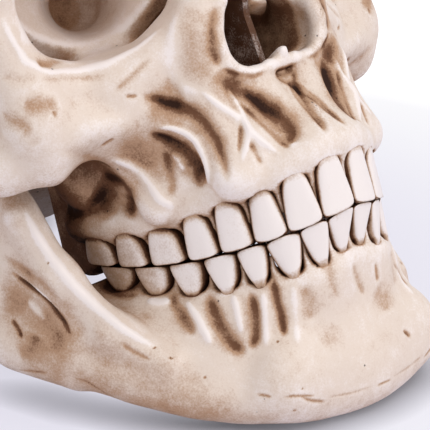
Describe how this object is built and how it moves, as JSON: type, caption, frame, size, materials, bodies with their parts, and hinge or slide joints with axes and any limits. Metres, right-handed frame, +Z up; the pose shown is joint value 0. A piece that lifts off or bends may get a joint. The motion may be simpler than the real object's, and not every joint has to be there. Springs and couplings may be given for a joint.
{
  "type": "anatomical skull model",
  "caption": "Life-size human skull model in stained ivory resin, with a lift-off skull cap, a sprung hinged lower jaw and separately seated teeth.",
  "frame": {"origin": "centre of the bounding box's foot, on the table that the chin and the occiput stand on", "axes": "face towards -Y, the skull's own left side towards +X, +Z up"},
  "size_m": [0.1419, 0.2228, 0.1693],
  "materials": {
    "resin_bone": "matte cast resin, ivory with brown wash in the recesses",
    "resin_teeth": "satin ivory resin",
    "spring_steel": "plain steel",
    "magnet_plating": "dark nickel plating",
    "flexible_insert": "flexible ivory plastic"
  },
  "bodies": {
    "cranium": {"skull_base": "resin_bone", "upper_right_central_incisor": "resin_teeth", "upper_right_lateral_incisor": "resin_teeth", "upper_right_canine": "resin_teeth", "upper_right_first_premolar": "resin_teeth", "upper_right_second_premolar": "resin_teeth", "upper_right_first_molar": "resin_teeth", "upper_right_second_molar": "resin_teeth", "upper_right_third_molar": "resin_teeth", "upper_left_central_incisor": "resin_teeth", "upper_left_lateral_incisor": "resin_teeth", "upper_left_canine": "resin_teeth", "upper_left_first_premolar": "resin_teeth", "upper_left_second_premolar": "resin_teeth", "upper_left_first_molar": "resin_teeth", "upper_left_second_molar": "resin_teeth", "upper_left_third_molar": "resin_teeth", "nasal_septum": "flexible_insert", "right_styloid": "flexible_insert", "left_styloid": "flexible_insert", "rim_magnet_1": "magnet_plating", "rim_magnet_2": "magnet_plating", "rim_magnet_3": "magnet_plating", "locating_peg_1": "spring_steel", "locating_peg_2": "spring_steel", "right_upper_spring_screw": "spring_steel", "left_upper_spring_screw": "spring_steel", "right_jaw_spring": "spring_steel", "left_jaw_spring": "spring_steel"},
    "calvarium": {"calvarium": "resin_bone", "cap_magnet_1": "magnet_plating", "cap_magnet_2": "magnet_plating", "cap_magnet_3": "magnet_plating"},
    "mandible": {"mandible": "resin_bone", "lower_right_central_incisor": "resin_teeth", "lower_right_lateral_incisor": "resin_teeth", "lower_right_canine": "resin_teeth", "lower_right_first_premolar": "resin_teeth", "lower_right_second_premolar": "resin_teeth", "lower_right_first_molar": "resin_teeth", "lower_right_second_molar": "resin_teeth", "lower_right_third_molar": "resin_teeth", "lower_left_central_incisor": "resin_teeth", "lower_left_lateral_incisor": "resin_teeth", "lower_left_canine": "resin_teeth", "lower_left_first_premolar": "resin_teeth", "lower_left_second_premolar": "resin_teeth", "lower_left_first_molar": "resin_teeth", "lower_left_second_molar": "resin_teeth", "lower_left_third_molar": "resin_teeth", "right_lower_spring_screw": "spring_steel", "left_lower_spring_screw": "spring_steel"}
  },
  "joints": [
    {"name": "jaw_hinge", "type": "hinge", "parent": "cranium", "child": "mandible", "pos_m": [0, -0.00506, 0.05065], "axis": [1, 0, 0], "range_deg": [0, 20], "stiffness_Nm_per_rad": 0.15, "springref_deg": -34.38, "deforming": ["right_jaw_spring", "left_jaw_spring"]},
    {"name": "cap_slide", "type": "slide", "parent": "cranium", "child": "calvarium", "axis": [0, 0.3768, 0.9263], "range_m": [0, 0.08]}
  ]
}
